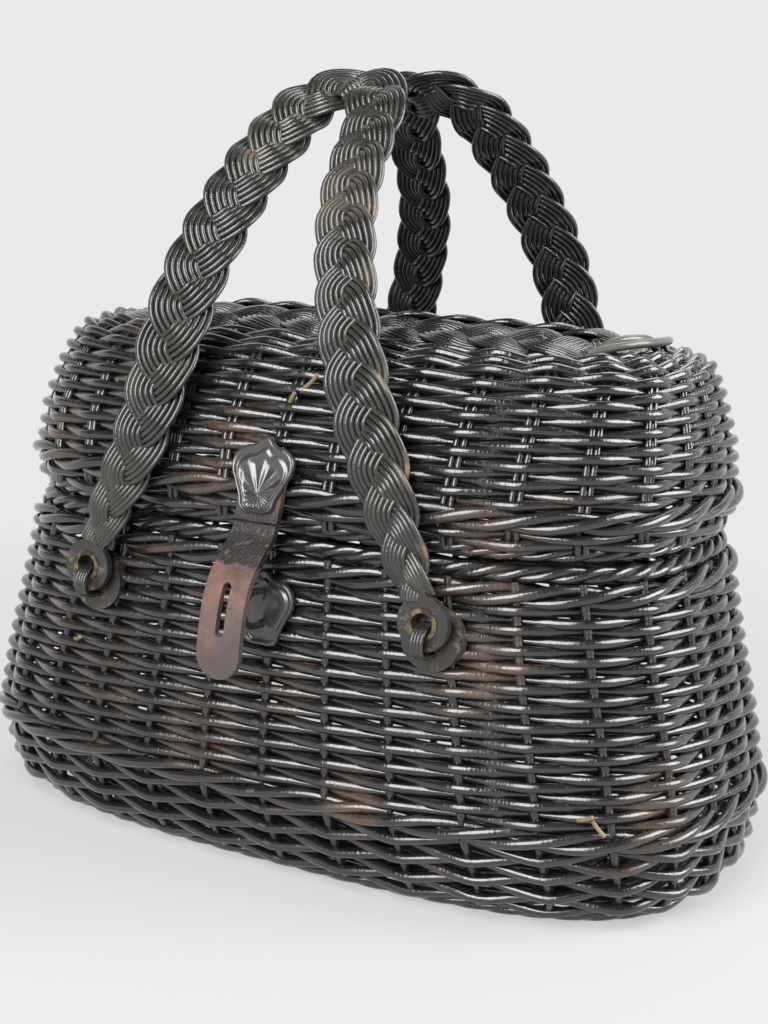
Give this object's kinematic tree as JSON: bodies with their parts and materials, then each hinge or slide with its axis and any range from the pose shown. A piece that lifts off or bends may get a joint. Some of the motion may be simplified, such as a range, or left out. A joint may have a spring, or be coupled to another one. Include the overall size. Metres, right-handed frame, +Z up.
{
  "type": "wicker market basket",
  "caption": "Lidded wicker market basket with a domed hinged lid, plaited swing handles and a leather strap that closes over a staple; for carrying shopping.",
  "frame": {"origin": "on the floor under the middle of the basket, on the flat underside of its base", "axes": "+Z up; +X along the length of the basket, to the right seen from the strap's side; the strap and the front handle are on -Y, the lid's hinge on +Y"},
  "size_m": [0.3974, 0.2713, 0.3738],
  "materials": {
    "black_willow": "gloss black paint over willow rods, worn",
    "charcoal_cane": "satin charcoal paint over plaited rods",
    "old_leather": "dry, worn",
    "aged_brass": "dull, tarnished",
    "black_iron": "black enamel, worn"
  },
  "bodies": {
    "basket": {"base_long_sticks": "black_willow", "base_short_sticks": "black_willow", "base_weave": "black_willow", "foot_weave": "black_willow", "lower_wale": "black_willow", "side_weave": "black_willow", "rim_wale": "black_willow", "rim_rod": "black_willow", "side_stakes": "black_willow", "front_handle_discs": "old_leather", "rear_handle_discs": "old_leather", "front_handle_lacing": "charcoal_cane", "rear_handle_lacing": "charcoal_cane", "lower_shield": "black_iron", "staple": "black_iron"},
    "lid": {"lid_border": "black_willow", "lid_skirt": "black_willow", "lid_wale": "black_willow", "lid_crown": "black_willow", "lid_stakes": "black_willow", "lid_top_plait": "black_willow", "hinge_loops": "black_willow", "upper_shield": "black_iron", "strap_root": "old_leather"},
    "strap": {"strap": "old_leather"},
    "front_handle": {"front_handle_plait": "charcoal_cane", "front_handle_tabs": "old_leather", "front_handle_eyelets": "aged_brass"},
    "rear_handle": {"rear_handle_plait": "charcoal_cane", "rear_handle_tabs": "old_leather", "rear_handle_eyelets": "aged_brass"}
  },
  "joints": [
    {"name": "lid_hinge", "type": "hinge", "parent": "basket", "child": "lid", "pos_m": [0, 0.103, 0.1573], "axis": [-1, 0, 0], "range_deg": [0, 100]},
    {"name": "front_handle_swing", "type": "hinge", "parent": "basket", "child": "front_handle", "pos_m": [0, -0.116, 0.1275], "axis": [1, 0, 0], "range_deg": [0, 135]},
    {"name": "rear_handle_swing", "type": "hinge", "parent": "basket", "child": "rear_handle", "pos_m": [0, 0.116, 0.1275], "axis": [-1, 0, 0], "range_deg": [0, 130]},
    {"name": "strap_flex", "type": "hinge", "parent": "lid", "child": "strap", "pos_m": [0.008, -0.11963, 0.1668], "axis": [-1, 0, 0], "range_deg": [-25, 80]}
  ],
  "couplings": [
    {"joint": "front_handle_swing", "follows": "lid_hinge", "ratio": 1.35},
    {"joint": "rear_handle_swing", "follows": "lid_hinge", "ratio": 1.3}
  ]
}
